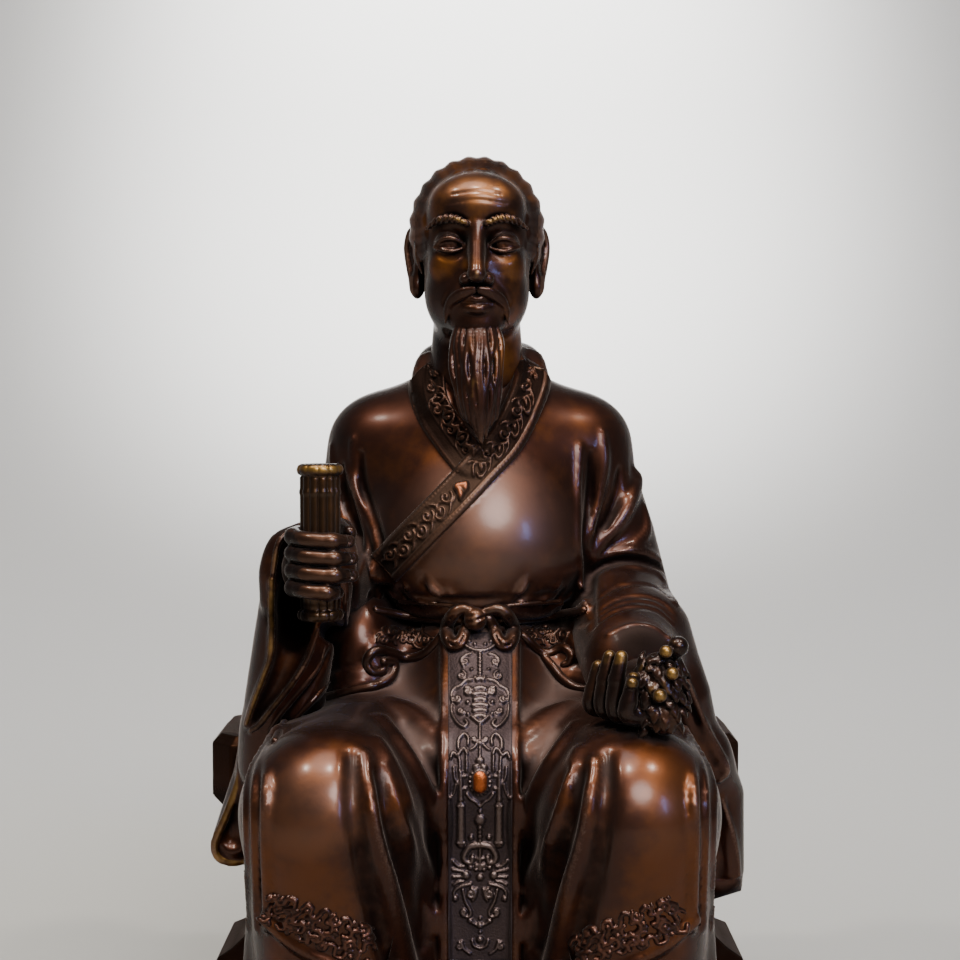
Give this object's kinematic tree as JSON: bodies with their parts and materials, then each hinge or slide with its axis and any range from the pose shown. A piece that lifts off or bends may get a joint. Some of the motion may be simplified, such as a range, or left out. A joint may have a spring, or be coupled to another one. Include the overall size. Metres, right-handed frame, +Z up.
{
  "type": "cast bronze statue of a seated medicine god",
  "caption": "Cast bronze figure of a seated sage with a bamboo scroll in one fist and herbs on the other palm, on a block seat with a low base.",
  "frame": {"origin": "centre of the base's underside", "axes": "+Z up; the figure faces -Y; +X is the viewer's right, the side of the open hand"},
  "size_m": [0.194, 0.17, 0.2866],
  "materials": {
    "patinated_bronze": "dark brown patina under wax, rubbed to red brown and brass on the raised parts"
  },
  "bodies": {
    "root": {"medicine_god_casting": "patinated_bronze"}
  },
  "joints": []
}
